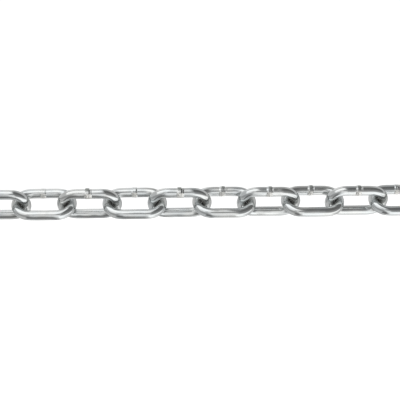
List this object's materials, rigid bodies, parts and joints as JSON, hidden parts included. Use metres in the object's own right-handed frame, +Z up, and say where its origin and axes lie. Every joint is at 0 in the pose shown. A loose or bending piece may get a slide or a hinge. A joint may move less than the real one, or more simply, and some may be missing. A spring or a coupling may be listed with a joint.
{
  "type": "welded steel chain length",
  "caption": "Straight length of welded steel chain: oval links of round wire, each hooked through the next and free to swing on it, laid out on a level floor.",
  "frame": {"origin": "on the floor under the middle of the row of links", "axes": "+X along the chain from link_01 to link_12, +Y towards the back, +Z up"},
  "size_m": [0.3162, 0.0166, 0.0174],
  "materials": {
    "bright_zinc": "bright zinc plating over drawn steel wire, smooth and shiny, duller at the welds"
  },
  "bodies": {
    "link_01": {"link_01": "bright_zinc"},
    "link_02": {"link_02": "bright_zinc"},
    "link_03": {"link_03": "bright_zinc"},
    "link_04": {"link_04": "bright_zinc"},
    "link_05": {"link_05": "bright_zinc"},
    "link_06": {"link_06": "bright_zinc"},
    "link_07": {"link_07": "bright_zinc"},
    "link_08": {"link_08": "bright_zinc"},
    "link_09": {"link_09": "bright_zinc"},
    "link_10": {"link_10": "bright_zinc"},
    "link_11": {"link_11": "bright_zinc"},
    "link_12": {"link_12": "bright_zinc"}
  },
  "joints": [
    {"name": "link_02_swing", "type": "hinge", "parent": "link_01", "child": "link_02", "pos_m": [-0.12405, 0, 0.00854], "axis": [0, 0.6691, 0.7431], "range_deg": [-120, 120]},
    {"name": "link_03_swing", "type": "hinge", "parent": "link_02", "child": "link_03", "pos_m": [-0.09865, 0, 0.00854], "axis": [0, -0.6691, 0.7431], "range_deg": [-120, 120]},
    {"name": "link_04_swing", "type": "hinge", "parent": "link_03", "child": "link_04", "pos_m": [-0.07325, 0, 0.00854], "axis": [0, -0.6691, -0.7431], "range_deg": [-120, 120]},
    {"name": "link_05_swing", "type": "hinge", "parent": "link_04", "child": "link_05", "pos_m": [-0.04785, 0, 0.00854], "axis": [0, 0.6691, -0.7431], "range_deg": [-120, 120]},
    {"name": "link_06_swing", "type": "hinge", "parent": "link_05", "child": "link_06", "pos_m": [-0.02245, 0, 0.00854], "axis": [0, 0.6691, 0.7431], "range_deg": [-120, 120]},
    {"name": "link_07_swing", "type": "hinge", "parent": "link_06", "child": "link_07", "pos_m": [0.00295, 0, 0.00854], "axis": [0, -0.6691, 0.7431], "range_deg": [-120, 120]},
    {"name": "link_08_swing", "type": "hinge", "parent": "link_07", "child": "link_08", "pos_m": [0.02835, 0, 0.00854], "axis": [0, -0.6691, -0.7431], "range_deg": [-120, 120]},
    {"name": "link_09_swing", "type": "hinge", "parent": "link_08", "child": "link_09", "pos_m": [0.05375, 0, 0.00854], "axis": [0, 0.6691, -0.7431], "range_deg": [-120, 120]},
    {"name": "link_10_swing", "type": "hinge", "parent": "link_09", "child": "link_10", "pos_m": [0.07915, 0, 0.00854], "axis": [0, 0.6691, 0.7431], "range_deg": [-120, 120]},
    {"name": "link_11_swing", "type": "hinge", "parent": "link_10", "child": "link_11", "pos_m": [0.10455, 0, 0.00854], "axis": [0, -0.6691, 0.7431], "range_deg": [-120, 120]},
    {"name": "link_12_swing", "type": "hinge", "parent": "link_11", "child": "link_12", "pos_m": [0.12995, 0, 0.00854], "axis": [0, -0.6691, -0.7431], "range_deg": [-120, 120]}
  ]
}
